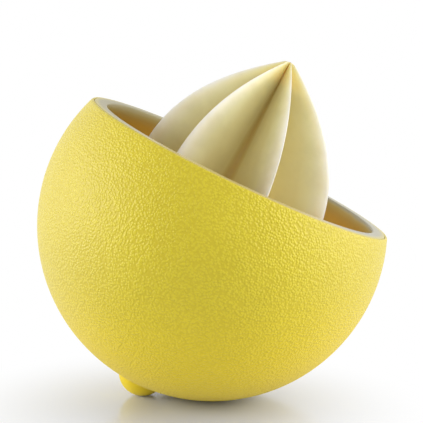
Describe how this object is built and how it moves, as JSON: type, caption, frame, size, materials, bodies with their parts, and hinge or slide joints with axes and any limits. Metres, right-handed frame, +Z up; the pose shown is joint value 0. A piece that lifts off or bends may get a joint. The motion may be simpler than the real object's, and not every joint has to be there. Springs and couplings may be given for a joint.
{
  "type": "hand citrus press",
  "caption": "Hand citrus press shaped like half a lemon: a soft grained peel over a stiff juice cup, resting aslant, with a lift-out slotted strainer that carries a hollow finned reamer.",
  "frame": {"origin": "centre of the flat under the belly, on the surface that the press stands on", "axes": "+Z is up from that surface. The bowl leans by about 25 degrees toward +X, so its axis points along (0.4266, 0, 0.9045), and the nub touches the surface on the -X side."},
  "size_m": [0.1113, 0.1114, 0.1079],
  "materials": {
    "peel_silicone": "matt lemon-yellow silicone with a fine pebbled grain, smooth on the nub",
    "cup_plastic": "satin ivory plastic, a little translucent, so that it turns amber down inside the yellow peel",
    "strainer_plastic": "satin ivory plastic",
    "reamer_plastic": "satin ivory plastic, glossier along the ridges"
  },
  "bodies": {
    "base": {"peel": "peel_silicone", "juice_cup": "cup_plastic"},
    "insert": {"strainer": "strainer_plastic", "reamer": "reamer_plastic"}
  },
  "joints": [
    {"name": "insert_lift", "type": "slide", "parent": "base", "child": "insert", "axis": [0.4266, 0, 0.9045], "range_m": [0, 0.06]}
  ]
}
